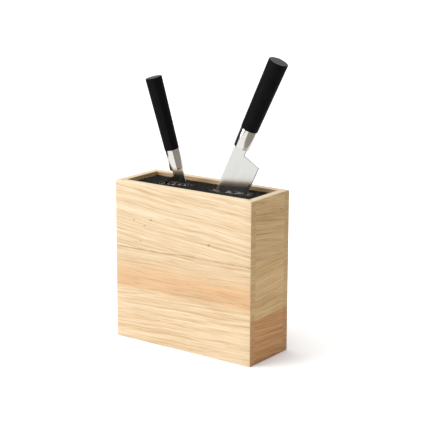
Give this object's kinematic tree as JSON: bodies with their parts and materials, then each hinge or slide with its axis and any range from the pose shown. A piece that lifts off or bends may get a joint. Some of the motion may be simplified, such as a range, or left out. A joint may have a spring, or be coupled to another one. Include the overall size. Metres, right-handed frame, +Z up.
{
  "type": "knife block with knives",
  "caption": "Upright wooden case holding a lift-out insert of black bristles, with a broad and a narrow kitchen knife standing in it, each free to slide out.",
  "frame": {"origin": "middle of the case's underside, where it rests on the table", "axes": "+X runs along the wide front face to the right, +Y runs from the front face to the back, +Z is up"},
  "size_m": [0.2554, 0.096, 0.4324],
  "materials": {
    "rubberwood": "sanded and oiled, fine horizontal grain",
    "dowel_wood": "raw turned beech",
    "bristle_plastic": "black, semi-matt rods",
    "handle_plastic": "black, fine matt texture",
    "blade_steel": "satin ground",
    "ferrule_steel": "polished"
  },
  "bodies": {
    "case": {"front_stave_1": "rubberwood", "front_stave_2": "rubberwood", "front_stave_3": "rubberwood", "back_stave_1": "rubberwood", "back_stave_2": "rubberwood", "back_stave_3": "rubberwood", "left_stave_1": "rubberwood", "left_stave_2": "rubberwood", "left_stave_3": "rubberwood", "right_stave_1": "rubberwood", "right_stave_2": "rubberwood", "right_stave_3": "rubberwood", "base_board": "rubberwood", "dowel_front_left_low": "dowel_wood", "dowel_front_left_high": "dowel_wood", "dowel_front_right_low": "dowel_wood", "dowel_front_right_high": "dowel_wood", "dowel_back_left_low": "dowel_wood", "dowel_back_left_high": "dowel_wood", "dowel_back_right_low": "dowel_wood", "dowel_back_right_high": "dowel_wood"},
    "insert": {"bristle_plate": "bristle_plastic", "bristles_front": "bristle_plastic", "bristles_middle": "bristle_plastic", "bristles_rear": "bristle_plastic", "bristles_large_spine_row": "bristle_plastic", "bristles_large_edge_row": "bristle_plastic", "bristles_large_tip_row": "bristle_plastic", "bristles_small_spine_row": "bristle_plastic", "bristles_small_edge_row": "bristle_plastic", "bristles_small_tip_row": "bristle_plastic"},
    "large_knife": {"large_blade": "blade_steel", "large_ferrule": "ferrule_steel", "large_handle": "handle_plastic"},
    "small_knife": {"small_blade": "blade_steel", "small_ferrule": "ferrule_steel", "small_handle": "handle_plastic"}
  },
  "joints": [
    {"name": "insert_lift", "type": "slide", "parent": "case", "child": "insert", "axis": [0, 0, 1], "range_m": [0, 0.235]},
    {"name": "large_knife_slide", "type": "slide", "parent": "insert", "child": "large_knife", "axis": [0.4093, 0.051, 0.911], "range_m": [-0.035, 0.125]},
    {"name": "small_knife_slide", "type": "slide", "parent": "insert", "child": "small_knife", "axis": [-0.181, -0.1585, 0.9706], "range_m": [-0.008, 0.12]}
  ]
}
